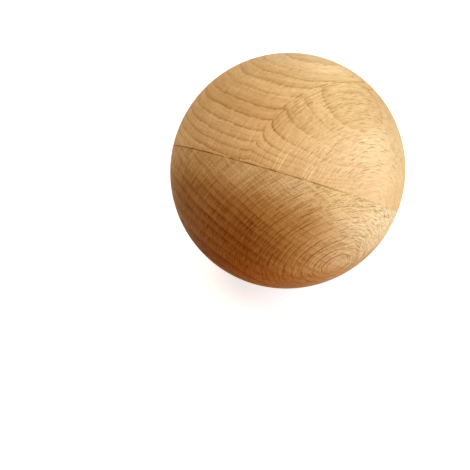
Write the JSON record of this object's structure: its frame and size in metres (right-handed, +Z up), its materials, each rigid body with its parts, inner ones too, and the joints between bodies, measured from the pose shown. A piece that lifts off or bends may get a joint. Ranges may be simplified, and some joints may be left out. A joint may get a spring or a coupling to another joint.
{
  "type": "wooden ball",
  "caption": "Plain turned ball of raw beech, glued up from two blocks, for craft, desk and bench use.",
  "frame": {"origin": "centre of the ball", "axes": "+Z up, -Y towards the viewer, +X to the viewer's right; the glue joint leans back and to the right"},
  "size_m": [0.08, 0.08, 0.08],
  "materials": {
    "beech_upper": "fine sanded, raw, matt",
    "beech_lower": "fine sanded, raw, matt"
  },
  "bodies": {
    "root": {"upper_block": "beech_upper", "lower_block": "beech_lower"}
  },
  "joints": []
}
